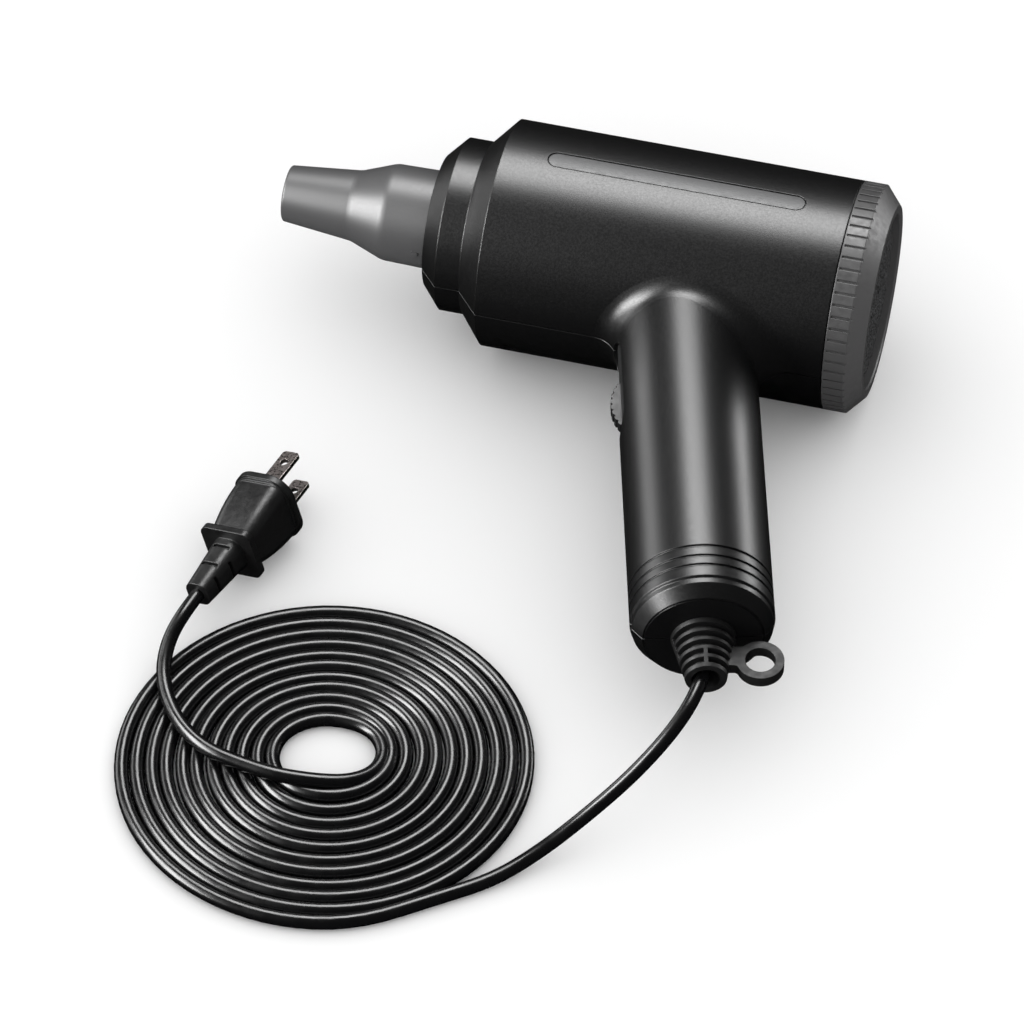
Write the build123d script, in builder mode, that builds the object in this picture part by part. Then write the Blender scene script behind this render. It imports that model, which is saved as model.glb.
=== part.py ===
"""A corded pistol-grip air blower lying on its side, with its lead wound in a flat coil.

The barrel lies along X and blows towards -X. The handle hangs from it towards -Y, raked back
towards +X. The two housing shells meet on the horizontal plane through both axes. Most pieces
are drawn in one of two local frames: `barrel`, whose x runs along the barrel and whose y points
away from the handle, and `grip`, whose x runs down the handle and whose y points to its rear.
"""

import os
from math import cos, degrees, pi, radians, sin, sqrt, tan

from build123d import *

os.makedirs("parts", exist_ok=True)

# ---- Driving dimensions, in millimetres and degrees -------------------------------------------
wall = 2.5                 # housing wall
gap = 0.3                  # clearance between pieces that move past each other
seat = 0.1                 # clearance of a piece that sits still in its pocket
run_fit = 0.05             # radial clearance of a shaft in its bearing

barrel_r = 39.3
barrel_front = -62.0       # all barrel lengths are measured from the crossing of the two axes
barrel_rear = 57.4
nose_chamfer = 8.0         # along the barrel, from its full radius down to the band
band_r = 30.0
band_len = 8.5
tip_chamfer = 6.1
socket_r = 17.4            # bore in the nose that the nozzle plugs into
nose_r = socket_r + 5.85
socket_len = 14.6
socket_wall = 2.4

collar_r = 34.5            # rear collar that carries the intake cover
collar_bore = 32.2
collar_len = 6.8

rake = 15.7
handle_r = 23.65
handle_end = barrel_r + 124.7   # all handle lengths are measured from the barrel axis
handle_edge = handle_end - 4.3
edge_step = 0.65
edge_step_len = 2.5
end_disc_r = 19.6
root_fillet = 9.5
grip_grooves = (handle_end - 19.1, handle_end - 15.0, handle_end - 11.2)
groove_w = 1.0
groove_deep = 0.5
parting_w = 0.36
parting_deep = 0.5

strip_len = 88.7
strip_w = 6.9
strip_start = 15.4         # behind the barrel's front edge
strip_rise = 1.4           # centre line above the barrel axis, away from the handle
strip_gap = 0.3
strip_deep = 1.4           # pocket depth below the barrel's surface
strip_sink = 0.25

nozzle_len = 53.6          # the part that shows
tip_r = 9.75
tip_bore = 8.0
tip_land = 8.5
neck_r = 12.3
neck_at = 29.0             # from the nose face to the end of the flare
shoulder_r = socket_r - 0.65
shoulder_at = 17.1
spigot_r = socket_r - gap
spigot_bore = 14.2
spigot_len = 13.1
oring_r = 0.65
oring_at = 3.2
peg_r = 1.5
peg_at = 9.6
peg_deep = 1.7
nozzle_turn = 34.0         # length of the bayonet slots

cover_len = 13.0
rib_len = 7.3
rib_count = 60
rib_deep = 0.55
rib_gap_w = 0.8
cover_rim_r = 33.2
mouth_r = 29.9
mouth_lip = 3.5
lug_w = 6.0
lug_len = 2.4
lug_deep = 1.5
cover_turn = 30.0
foam_len = 10.6
foam_r = collar_bore - gap
grille_t = 2.3

dial_r = 16.5
dial_t = 4.0
dial_at = barrel_r + 25.0
dial_out = 2.4             # how far the dial stands out of the handle
dial_teeth = 40
panel_start = barrel_r - 0.7
panel_end = panel_start + 40.0
panel_half = 8.5
panel_sink = 1.0
panel_t = 1.3

boot_root_r = 11.5
boot_neck_r = 9.0
boot_base_r = 10.65
boot_tip_r = 6.75
boot_tip = handle_end + 17.2
boot_bore = 2.5
boot_flare_r = 4.7
boot_slots = 5
boot_slot_w = 1.9
boot_slot_deep = 2.3
boot_spine_w = 3.0
boot_tie_w = 1.3
loop_at = handle_end + 11.3
loop_back = 17.7
loop_r = 7.75
loop_hole_r = 4.9
loop_t = 4.0
loop_neck = 7.7
loop_neck_fillet = 1.6

cord_r = 2.45
bend_share = 0.45
coil_centre = (-36.0, -141.4)
coil_r = 68.3
coil_eye_r = 14.4
coil_squash = 0.97
coil_turned = 14.06

plug_at = (-80.2, -48.2, 14.2)
plug_dir = (0.257, 0.966, -0.03)
plug_roll = 17.0
blade_gap = 12.7
blade_w = 6.3
blade_t = 1.5
blade_len = 17.6
blade_root = 9.0
plug_len = 46.0            # front flange centre to the tip of the strain relief
plug_grip_at = 23.8        # front flange centre to finger flange centre
plug_relief_tip = 4.4

shaft_r = 3.0
bearing_r = 9.5
bearing_w = 6.0
stator_r = 26.0
stator_bore = 15.2
stator_front = -22.0
stator_rear = 12.0
rotor_r = 14.8
rotor_slots = 12
comm_r = 9.5
comm_bars = 24
fan_r = 27.0
fan_blades = 9
fan_back = 37.5
fan_front = 48.0
shroud_r = 34.6
plate_front = -46.0
plate_rear = 19.8
plate_t = 3.0
mount_r = 31.5
boss_r = 3.2
screw_r = 1.5

# ---- Frames ------------------------------------------------------------------------------------
run_x = sin(radians(rake))
run_y = cos(radians(rake))
nose_face = barrel_front - nose_chamfer - band_len - tip_chamfer
loop_edge = run_x * loop_at + run_y * loop_back + loop_r
cross = Vector(
    (nozzle_len - nose_face - loop_edge) / 2,
    (run_y * boot_tip + run_x * boot_tip_r - barrel_r) / 2,
    barrel_r,
)
barrel = Plane(origin=cross, x_dir=(1, 0, 0), z_dir=(0, 0, 1))
grip = Plane(origin=cross, x_dir=(run_x, -run_y, 0), z_dir=(0, 0, 1))
barrel_axis = Axis(cross, barrel.x_dir)
grip_axis = Axis(cross, grip.x_dir)
tip_x = nose_face - nozzle_len
cover_end = barrel_rear + cover_len
shroud_front = plate_rear + 9.9
strip_floor = barrel_r - strip_deep
dial_back = handle_r + dial_out - dial_r


def ring_plane(x):
    """The plane across the barrel at x: its own x is the barrel's y, its own y points up."""
    return Plane(origin=barrel.from_local_coords((x, 0, 0)), x_dir=(0, 1, 0), z_dir=(1, 0, 0))


def grip_ring_plane(s):
    """The plane across the handle at s: its own x is the handle's y, its own y points up."""
    return Plane(origin=grip.from_local_coords((s, 0, 0)), x_dir=grip.y_dir, z_dir=grip.x_dir)


def turned(profile, plane, axis):
    """A solid of revolution of a closed (length, radius) outline."""
    with BuildPart() as body:
        with BuildSketch(plane):
            with BuildLine():
                Polyline(*profile, close=True)
            make_face()
        revolve(axis=axis)
    return body.part


def barrel_tube(start, end, outer, inner=0):
    """A ring or disc round the barrel axis."""
    outline = [(start, inner), (start, outer), (end, outer), (end, inner)]
    return turned(outline, barrel, barrel_axis)


def sector(start, end, outer, inner, middle, half):
    """A curved block: the barrel ring between two radii, within an angle each side of middle."""
    reach = 2 * outer
    with BuildPart() as block:
        with BuildSketch(ring_plane(start)):
            Circle(outer)
            Circle(inner, mode=Mode.SUBTRACT)
            with BuildLine():
                Polyline(
                    (0, 0),
                    (reach * cos(radians(middle - half)), reach * sin(radians(middle - half))),
                    (reach * cos(radians(middle)), reach * sin(radians(middle))),
                    (reach * cos(radians(middle + half)), reach * sin(radians(middle + half))),
                    close=True,
                )
            make_face(mode=Mode.INTERSECT)
        extrude(amount=end - start)
    return block.part


def finish(piece, label):
    """Labels a finished piece and writes it."""
    piece.part.label = label
    export_step(piece.part, f"parts/{label}.step")


# ---- Housing form ------------------------------------------------------------------------------
def housing_form(inset):
    """The closed outer form of barrel and handle, every surface set in by a distance."""
    front = nose_face + inset
    band_front = nose_face + tip_chamfer
    with BuildPart() as form:
        with BuildSketch(barrel):
            with BuildLine():
                Polyline(
                    (front, 0),
                    (front, nose_r - inset),
                    (band_front, band_r - inset),
                    (barrel_front - nose_chamfer, band_r - inset),
                    (barrel_front, barrel_r - inset),
                    (barrel_rear, barrel_r - inset),
                    (barrel_rear, collar_r),
                    (barrel_rear + collar_len, collar_r),
                    (barrel_rear + collar_len, 0),
                    close=True,
                )
            make_face()
        revolve(axis=barrel_axis)
        step_at = handle_edge - edge_step_len
        with BuildSketch(grip):
            with BuildLine():
                Polyline(
                    (0, 0),
                    (0, handle_r - inset),
                    (step_at, handle_r - inset),
                    (step_at + edge_step, handle_r - edge_step - inset),
                    (handle_edge, handle_r - edge_step - inset),
                    (handle_end - inset, end_disc_r - inset),
                    (handle_end - inset, 0),
                    close=True,
                )
            make_face()
        revolve(axis=grip_axis)

        def on_both_skins(edge):
            point = edge.position_at(0.37)
            in_barrel = barrel.to_local_coords(point)
            in_grip = grip.to_local_coords(point)
            off_barrel = sqrt(in_barrel.Y**2 + in_barrel.Z**2) - (barrel_r - inset)
            off_grip = sqrt(in_grip.Y**2 + in_grip.Z**2) - (handle_r - inset)
            return abs(off_barrel) < 0.01 and abs(off_grip) < 0.01

        fillet(form.edges().filter_by(on_both_skins), radius=root_fillet)
    return form.part


outer_form = housing_form(0)
groove_core = housing_form(parting_deep)

barrel_hollow = turned(
    [
        (nose_face - 1, 0),
        (nose_face - 1, socket_r),
        (nose_face + socket_len, socket_r),
        (nose_face + socket_len, socket_r + socket_wall),
        (nose_face + 5, socket_r + socket_wall),
        (nose_face + 5, nose_r - 1),
        (nose_face + 8, band_r - wall),
        (barrel_front - nose_chamfer + 1.9, band_r - wall),
        (barrel_front + 1.1, barrel_r - wall),
        (barrel_rear - wall, barrel_r - wall),
        (barrel_rear - wall, collar_bore),
        (barrel_rear + collar_len + 1, collar_bore),
        (barrel_rear + collar_len + 1, 0),
    ],
    barrel,
    barrel_axis,
)
grip_hollow = turned(
    [
        (0, 0),
        (0, handle_r - wall),
        (handle_edge - 3.2, handle_r - wall),
        (handle_end - wall, end_disc_r - 2.2),
        (handle_end - wall, 0),
    ],
    grip,
    grip_axis,
)

# Places of the screws that close the shells: (along, across) in the barrel or the handle frame.
barrel_screws = [(-52.0, 32.6), (-52.0, -32.6), (8.0, 32.6)]
grip_screws = [
    (handle_end - 52.0, 15.6), (handle_end - 26.5, -14.2), (handle_end - 26.5, 14.2),
]
head_drop = 13.0           # screw head's underside below the parting plane
screw_up = 9.0             # screw's tip above the parting plane
head_r = 2.8
head_t = 2.2


def stand(places, plane, radius, low, high):
    """Round posts at the screw places, between two heights off the parting plane."""
    with BuildPart() as posts:
        with BuildSketch(plane.offset(low)):
            with Locations(*places):
                Circle(radius)
        extrude(amount=high - low)
    return posts.part


rib_at = (plate_front + 1.0, plate_rear + 0.2)
rib_t = 4.0
boot_rib_at = handle_end - wall - 4.2
boot_rib_t = 1.8
saddle_start = handle_end - 22.0
saddle_len = 8.0
saddle_half = 11.0

with BuildPart() as housing:
    add(outer_form)
    add(barrel_hollow, mode=Mode.SUBTRACT)
    add(grip_hollow, mode=Mode.SUBTRACT)
    # Screw bosses, kept to the inside of the form.
    with BuildPart(mode=Mode.PRIVATE) as bosses:
        add(stand(barrel_screws, barrel, boss_r, -barrel_r, barrel_r))
        add(stand(grip_screws, grip, boss_r, -handle_r, handle_r))
        add(groove_core, mode=Mode.INTERSECT)
    add(bosses.part)
    # Ring ribs that carry the motor's rubber mounts.
    for at in rib_at:
        with BuildPart(mode=Mode.PRIVATE) as rib:
            add(barrel_tube(at, at + rib_t, barrel_r - 1, mount_r + seat))
        add(rib.part)
    # Fan shroud groove: two ribs with the shroud's flange between them.
    for at in (shroud_front + 8.0, shroud_front + 8.0 + 2.0 + 2 * seat + 2.0):
        add(barrel_tube(at, at + 2.0, barrel_r - 1, shroud_r + seat))
    # Web that holds the root of the strain relief against the end wall.
    with BuildSketch(grip_ring_plane(boot_rib_at - boot_rib_t)):
        Circle(handle_r - 1)
        Circle(boot_neck_r + seat, mode=Mode.SUBTRACT)
    extrude(amount=boot_rib_t)
    # Saddle under the cord clamp.
    with BuildPart(mode=Mode.PRIVATE) as saddle:
        with BuildSketch(grip.offset(-handle_r)):
            with Locations((saddle_start + saddle_len / 2, 0)):
                Rectangle(saddle_len, 2 * saddle_half)
        extrude(amount=handle_r - 0.6)
        add(groove_core, mode=Mode.INTERSECT)
    add(saddle.part)
    with BuildSketch(grip_ring_plane(saddle_start - 1)):
        Circle(cord_r)
    extrude(amount=saddle_len + 2, mode=Mode.SUBTRACT)
    # Hole for the strain relief's neck.
    with BuildSketch(grip_ring_plane(handle_end - wall - 1)):
        Circle(boot_neck_r + seat)
    extrude(amount=wall + 2, mode=Mode.SUBTRACT)
    # Bayonet pegs in the nose socket.
    for angle in (30, 150, 270):
        peg_dir = Vector(0, cos(radians(angle)), sin(radians(angle)))
        peg_base = barrel.from_local_coords((nose_face + peg_at, 0, 0))
        with BuildSketch(Plane(origin=peg_base + peg_dir * (socket_r - peg_deep), z_dir=peg_dir)):
            Circle(peg_r)
        extrude(amount=peg_deep + 1)
    # L-shaped bayonet slots in the rear collar.
    lug_x = barrel_rear + 3.0
    slot_half = degrees((lug_w / 2 + gap) / collar_r)
    for angle in (60, 180, 300):
        run = sector(
            lug_x - gap, lug_x + lug_len + gap, collar_r + 1, collar_r - lug_deep - 0.2,
            angle + cover_turn / 2, slot_half + cover_turn / 2,
        )
        add(run, mode=Mode.SUBTRACT)
        entry = sector(
            lug_x - gap, barrel_rear + collar_len + 1, collar_r + 1, collar_r - lug_deep - 0.2,
            angle, slot_half,
        )
        add(entry, mode=Mode.SUBTRACT)
    # Grip grooves and the ring groove round the end disc.
    for s in grip_grooves:
        with BuildSketch(grip):
            with Locations((s, handle_r)):
                Rectangle(groove_w, 2 * groove_deep)
        revolve(axis=grip_axis, mode=Mode.SUBTRACT)
    with BuildSketch(grip):
        with Locations((handle_end, end_disc_r - 0.2)):
            Rectangle(0.6, 0.5)
    revolve(axis=grip_axis, mode=Mode.SUBTRACT)
    # Pockets for the side strips, on both flanks.
    strip_mid = barrel_front + strip_start + strip_len / 2
    for side in (1, -1):
        low = strip_floor if side > 0 else -barrel_r - 1
        with BuildSketch(barrel.offset(low)):
            with Locations((strip_mid, strip_rise)):
                SlotOverall(strip_len, strip_w)
        extrude(amount=barrel_r + 1 - strip_floor, mode=Mode.SUBTRACT)
    # Opening for the dial panel in the front of the handle.
    panel_mid = (panel_start + panel_end) / 2
    panel_plane = Plane(
        origin=grip.from_local_coords((panel_mid, -handle_r + panel_sink + panel_t + 1.5, 0)),
        x_dir=grip.x_dir,
        z_dir=-grip.y_dir,
    )
    with BuildSketch(panel_plane):
        RectangleRounded(panel_end - panel_start, 2 * panel_half, panel_half - 0.5)
    extrude(amount=12, mode=Mode.SUBTRACT)
    # The fine joint line where the shells meet.
    with BuildPart(mode=Mode.PRIVATE) as joint_line:
        with BuildSketch(barrel.offset(-parting_w / 2)):
            with Locations((0, -60)):
                Rectangle(300, 300)
        extrude(amount=parting_w)
        add(groove_core, mode=Mode.SUBTRACT)
    add(joint_line.part, mode=Mode.SUBTRACT)
    # Screw holes: clearance and head pocket below, pilot hole above.
    for places, plane in ((barrel_screws, barrel), (grip_screws, grip)):
        drop = head_drop if plane is barrel else head_drop - 5
        add(stand(places, plane, head_r + gap, -barrel_r - 1, -drop), mode=Mode.SUBTRACT)
        add(stand(places, plane, screw_r + seat, -drop - 1, screw_up + 1), mode=Mode.SUBTRACT)

for label, keep in (("shell_upper", Keep.TOP), ("shell_lower", Keep.BOTTOM)):
    with BuildPart() as shell:
        add(housing.part)
        split(bisect_by=barrel, keep=keep)
    finish(shell, label)

# ---- Housing trim ------------------------------------------------------------------------------
for label, side in (("side_strip_upper", 1), ("side_strip_lower", -1)):
    with BuildPart() as strip:
        low = strip_floor if side > 0 else -barrel_r
        with BuildSketch(barrel.offset(low)):
            with Locations((strip_mid, strip_rise)):
                SlotOverall(strip_len - 2 * strip_gap, strip_w - 2 * strip_gap)
        extrude(amount=barrel_r - strip_floor)
        add(
            barrel_tube(barrel_front, barrel_rear, barrel_r - strip_sink),
            mode=Mode.INTERSECT,
        )
    finish(strip, label)

panel_r = handle_r - panel_sink
with BuildPart() as dial_panel:
    with BuildSketch(panel_plane):
        RectangleRounded(
            panel_end - panel_start - 2 * seat, 2 * (panel_half - seat), panel_half - 0.5 - seat
        )
    extrude(amount=10)
    with BuildSketch(grip_ring_plane(panel_start - 5)):
        Circle(panel_r)
        Circle(panel_r - panel_t, mode=Mode.SUBTRACT)
    extrude(amount=panel_end - panel_start + 10, mode=Mode.INTERSECT)
    slot_reach = sqrt(dial_r**2 - (panel_r - panel_t - dial_back) ** 2) + gap + 0.1
    with BuildSketch(grip):
        with Locations((dial_at, -panel_r)):
            Rectangle(2 * slot_reach, 8)
    extrude(amount=dial_t / 2 + gap, both=True, mode=Mode.SUBTRACT)
finish(dial_panel, "dial_panel")

# ---- Speed control -----------------------------------------------------------------------------
dial_plane = Plane(
    origin=grip.from_local_coords((dial_at, -dial_back, 0)), x_dir=grip.x_dir, z_dir=(0, 0, 1)
)
spindle_r = 3.0
board_top = -7.0
board_t = 1.6
pot_top = -dial_t / 2 - 0.6
tooth_deep = 0.55
with BuildPart() as speed_dial:
    with BuildSketch(dial_plane.offset(-dial_t / 2)):
        Circle(dial_r)
        with PolarLocations(dial_r, dial_teeth):
            Circle(tooth_deep, mode=Mode.SUBTRACT)
        Circle(spindle_r, mode=Mode.SUBTRACT)
    extrude(amount=dial_t)
finish(speed_dial, "speed_dial")

with BuildPart() as dial_spindle:
    with BuildSketch(dial_plane.offset(pot_top - 3.0)):
        Circle(spindle_r)
    extrude(amount=dial_t / 2 + 1.5 - pot_top + 3.0)
finish(dial_spindle, "dial_spindle")

with BuildPart() as speed_pot:
    with BuildSketch(dial_plane.offset(board_top)):
        Circle(8.0)
    extrude(amount=pot_top - board_top)
    with BuildSketch(dial_plane.offset(pot_top - 3.0 - gap)):
        Circle(spindle_r + run_fit)
    extrude(amount=5, mode=Mode.SUBTRACT)
finish(speed_pot, "speed_pot")

board_start = barrel_r + 10.7
board_end = handle_end - 45.0
board_half = 16.5
with BuildPart() as control_board:
    with BuildSketch(grip.offset(board_top - board_t)):
        with Locations(((board_start + board_end) / 2, 0)):
            Rectangle(board_end - board_start, 2 * board_half)
        with Locations(*[(s, q) for s, q in grip_screws]):
            Circle(boss_r + 0.6, mode=Mode.SUBTRACT)
    extrude(amount=board_t)
finish(control_board, "control_board")

filter_parts_at = dial_at + 27.7     # capacitor and choke, side by side along the handle
with BuildPart() as capacitor:
    with BuildSketch(grip.offset(board_top)):
        with Locations((filter_parts_at, 5.5)):
            Rectangle(17.0, 8.0)
    extrude(amount=14.0)
    fillet(capacitor.edges().filter_by(Axis.Z), radius=1.0)
finish(capacitor, "capacitor")

with BuildPart() as noise_choke:
    with BuildSketch(grip.offset(board_top)):
        with Locations((filter_parts_at, -8.0)):
            Circle(6.5)
            Circle(2.6, mode=Mode.SUBTRACT)
    extrude(amount=6.0)
    fillet(noise_choke.edges().filter_by(GeomType.CIRCLE), radius=1.2)
finish(noise_choke, "noise_choke")

heat_sink_at = filter_parts_at + 15.0
heat_sink_t = 1.6
triac_t = 4.4
with BuildPart() as heat_sink:
    with BuildSketch(grip.offset(board_top)):
        with Locations((heat_sink_at, -1.0)):
            Rectangle(heat_sink_t, 20.0)
        with Locations(*[(heat_sink_at + 1.8, q) for q in (-10.0, -6.0, -2.0, 2.0, 6.0)]):
            Rectangle(2.0, 1.2)
    extrude(amount=15.0)
finish(heat_sink, "heat_sink")

with BuildPart() as triac:
    with BuildSketch(grip.offset(board_top)):
        with Locations((heat_sink_at - (heat_sink_t + triac_t) / 2, -1.0)):
            Rectangle(triac_t, 10.0)
    extrude(amount=13.0)
finish(triac, "triac")

terminal_at = handle_end - 36.0
terminal_foot = 3.0        # above the inside of the wall
terminal_top = -cord_r - 0.4
with BuildPart() as terminal_block:
    with BuildSketch(grip.offset(-handle_r + wall + terminal_foot)):
        with Locations((terminal_at, 0)):
            Rectangle(10.0, 16.0)
    extrude(amount=terminal_top + handle_r - wall - terminal_foot)
    for across in (-4.0, 4.0):
        with Locations(grip.offset(terminal_top) * Location((terminal_at, across, 0))):
            CounterBoreHole(radius=1.2, counter_bore_radius=2.4, counter_bore_depth=2.0, depth=9.0)
finish(terminal_block, "terminal_block")

# ---- Cord entry --------------------------------------------------------------------------------
with BuildPart() as strain_relief:
    with BuildSketch(grip):
        with BuildLine():
            Polyline(
                (boot_rib_at, 0),
                (boot_rib_at, boot_root_r),
                (handle_end - wall - seat, boot_root_r),
                (handle_end - wall - seat, boot_neck_r),
                (handle_end + seat, boot_neck_r),
                (handle_end + seat, boot_base_r),
                (boot_tip, boot_tip_r),
                (boot_tip, 0),
                close=True,
            )
        make_face()
    revolve(axis=grip_axis)
    # Ring slots cut into the cone. The first ones leave a spine at each side, the last ones a
    # narrow tie above and below.
    pitch = (boot_tip - handle_end - 2.0) / boot_slots
    taper = (boot_base_r - boot_tip_r) / (boot_tip - handle_end)
    for index in range(boot_slots):
        s = handle_end + 1.7 + index * pitch
        outer = boot_base_r - taper * (s - handle_end)
        with BuildPart(mode=Mode.PRIVATE) as slot:
            with BuildSketch(grip_ring_plane(s)):
                Circle(outer + 1)
                Circle(outer - boot_slot_deep, mode=Mode.SUBTRACT)
                if index < boot_slots - 2:
                    Rectangle(2 * outer + 4, boot_spine_w, mode=Mode.SUBTRACT)
                else:
                    Rectangle(boot_tie_w, 2 * outer + 4, mode=Mode.SUBTRACT)
            extrude(amount=boot_slot_w)
        add(slot.part, mode=Mode.SUBTRACT)
    # Hanging loop on the boot's rear side.
    with BuildSketch(grip.offset(-loop_t / 2)) as loop:
        with Locations((loop_at - 1.9, (loop_back + boot_tip_r) / 2)):
            Rectangle(loop_neck, loop_back - boot_tip_r)
        with Locations((loop_at, loop_back)):
            Circle(loop_r)
        fillet(loop.vertices().sort_by(Axis.Y)[2:4], radius=loop_neck_fillet)
    extrude(amount=loop_t)
    with BuildSketch(grip.offset(-loop_t / 2)):
        with Locations((loop_at, loop_back)):
            Circle(loop_hole_r)
    extrude(amount=loop_t, mode=Mode.SUBTRACT)
    # Bore for the cord, flared at the mouth.
    with BuildSketch(grip):
        with BuildLine():
            Polyline(
                (boot_rib_at - 1, 0),
                (boot_rib_at - 1, boot_bore),
                (boot_tip - 9.0, boot_bore),
                (boot_tip + 0.1, boot_flare_r),
                (boot_tip + 0.1, 0),
                close=True,
            )
        make_face()
    revolve(axis=grip_axis, mode=Mode.SUBTRACT)
finish(strain_relief, "strain_relief")

inner_end = handle_end - 30.0
lead_start = boot_tip - 13.8
with BuildPart() as cord_inner:
    with BuildSketch(grip_ring_plane(inner_end)):
        Circle(cord_r)
    extrude(amount=lead_start - inner_end)
finish(cord_inner, "cord_inner")

clamp_screws_at = [(saddle_start + saddle_len / 2, q) for q in (-7.5, 7.5)]
with BuildPart() as cord_clamp:
    with BuildSketch(grip.offset(-0.6 + seat)):
        with Locations((saddle_start + saddle_len / 2, 0)):
            Rectangle(saddle_len, 2 * saddle_half - 1)
    extrude(amount=5.0)
    with BuildSketch(grip_ring_plane(saddle_start - 1)):
        Circle(cord_r)
    extrude(amount=saddle_len + 2, mode=Mode.SUBTRACT)
    with BuildSketch(grip.offset(-1)):
        with Locations(*clamp_screws_at):
            Circle(screw_r + seat)
    extrude(amount=8, mode=Mode.SUBTRACT)
finish(cord_clamp, "cord_clamp")

with BuildPart() as clamp_screws:
    with BuildSketch(grip.offset(-0.5 + seat)):
        with Locations(*clamp_screws_at):
            Circle(screw_r)
    extrude(amount=5.0)
    with BuildSketch(grip.offset(4.5 + seat)):
        with Locations(*clamp_screws_at):
            Circle(2.7)
        with Locations(*clamp_screws_at):
            Rectangle(3.2, 0.7, mode=Mode.SUBTRACT)
    extrude(amount=1.8)
finish(clamp_screws, "clamp_screws")

with BuildPart() as shell_screws:
    for places, plane in ((barrel_screws, barrel), (grip_screws, grip)):
        drop = head_drop if plane is barrel else head_drop - 5
        add(stand(places, plane, screw_r, -drop, screw_up))
        add(stand(places, plane, head_r, -drop - head_t, -drop))
        with BuildSketch(plane.offset(-drop - head_t)):
            with Locations(*places):
                Rectangle(3.4, 0.8)
                Rectangle(0.8, 3.4)
        extrude(amount=1.2, mode=Mode.SUBTRACT)
finish(shell_screws, "shell_screws")

# ---- Nozzle ------------------------------------------------------------------------------------
spigot_end = nose_face + spigot_len
with BuildPart() as nozzle:
    with BuildSketch(barrel):
        with BuildLine():
            outline = FilletPolyline(
                (tip_x, tip_bore),
                (tip_x, tip_r),
                (nose_face - neck_at, neck_r),
                (nose_face - shoulder_at, shoulder_r),
                (nose_face, spigot_r),
                radius=(0.8, 9.0, 8.0),
            )
            Polyline(
                (nose_face, spigot_r),
                (spigot_end, spigot_r),
                (spigot_end, spigot_bore),
                (nose_face - shoulder_at + 1, spigot_bore),
                (nose_face - neck_at, neck_r - 2.0),
                (tip_x + tip_land, tip_bore),
                (tip_x, tip_bore),
            )
        make_face()
    revolve(axis=barrel_axis)
    # Groove for the O-ring.
    with BuildSketch(barrel):
        with Locations((nose_face + oring_at, spigot_r)):
            Rectangle(2 * oring_r + 2 * gap, 3.0)
    revolve(axis=barrel_axis, mode=Mode.SUBTRACT)
    # Bayonet slots for the three pegs in the socket.
    slot_floor = socket_r - peg_deep - gap - 0.1
    peg_half = degrees((peg_r + gap) / spigot_r)
    peg_x = nose_face + peg_at
    for angle in (30, 150, 270):
        entry = sector(
            peg_x - peg_r - gap, spigot_end + 1, spigot_r + 1, slot_floor, angle, peg_half
        )
        add(entry, mode=Mode.SUBTRACT)
        run = sector(
            peg_x - peg_r - gap, peg_x + peg_r + gap, spigot_r + 1, slot_floor,
            angle - nozzle_turn / 2, peg_half + nozzle_turn / 2,
        )
        add(run, mode=Mode.SUBTRACT)
    # Raised index mark that shows where the bayonet locks.
    mark_x = nose_face - 4.2
    with BuildPart(mode=Mode.PRIVATE) as mark:
        with BuildSketch(Plane(
            origin=barrel.from_local_coords((mark_x, 0, 0)), x_dir=(1, 0, 0), z_dir=(0, -1, 0)
        )):
            Trapezoid(2.6, 2.2, 75, rotation=-90)
        extrude(amount=spigot_r + 0.5)
        add(barrel_tube(mark_x - 3, mark_x + 3, barrel_r, spigot_r - 1), mode=Mode.INTERSECT)
    add(mark.part)
finish(nozzle, "nozzle")

with BuildPart() as nozzle_seal:
    with BuildSketch(barrel):
        with Locations((nose_face + oring_at, spigot_r - 1.5 + gap + oring_r)):
            Circle(oring_r)
    revolve(axis=barrel_axis)
finish(nozzle_seal, "nozzle_seal")

# ---- Intake ------------------------------------------------------------------------------------
cover_start = barrel_rear + gap
rib_end = barrel_rear + rib_len + 0.3
lip_x = cover_end - mouth_lip
with BuildPart() as intake_cover:
    with BuildSketch(barrel):
        with BuildLine():
            Polyline(
                (cover_start, collar_r + gap),
                (cover_start, barrel_r),
                (rib_end, barrel_r),
                (cover_end, cover_rim_r),
                (cover_end, mouth_r),
                (lip_x, mouth_r),
                (lip_x, collar_bore + 1.4),
                (barrel_rear + collar_len + gap + 0.2, collar_bore + 1.4),
                (barrel_rear + collar_len + gap + 0.2, collar_r + gap),
                close=True,
            )
        make_face()
    revolve(axis=barrel_axis)
    chamfer_edges = intake_cover.edges().filter_by(GeomType.CIRCLE).filter_by(
        lambda edge: abs(edge.radius - mouth_r) < 0.01 and edge.center().X > cross.X + lip_x + 1
    )
    chamfer(chamfer_edges, length=0.5)
    # Grip ribs: shallow flutes all round, running out through the bevel.
    with BuildPart(mode=Mode.PRIVATE) as flutes:
        with BuildSketch(ring_plane(cover_start + 0.6)):
            with PolarLocations(barrel_r, rib_count):
                Rectangle(2 * rib_deep, rib_gap_w)
        extrude(amount=rib_end - cover_start)
    add(flutes.part, mode=Mode.SUBTRACT)
    # Bayonet lugs that ride in the collar's slots.
    for angle in (60, 180, 300):
        lug = sector(
            lug_x, lug_x + lug_len, collar_r + gap + 0.5, collar_r - lug_deep + gap,
            angle, degrees(lug_w / 2 / collar_r),
        )
        add(lug)
finish(intake_cover, "intake_cover")

foam_end = lip_x - gap
with BuildPart() as intake_filter:
    add(barrel_tube(foam_end - foam_len, foam_end, foam_r))
finish(intake_filter, "intake_filter")

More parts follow.
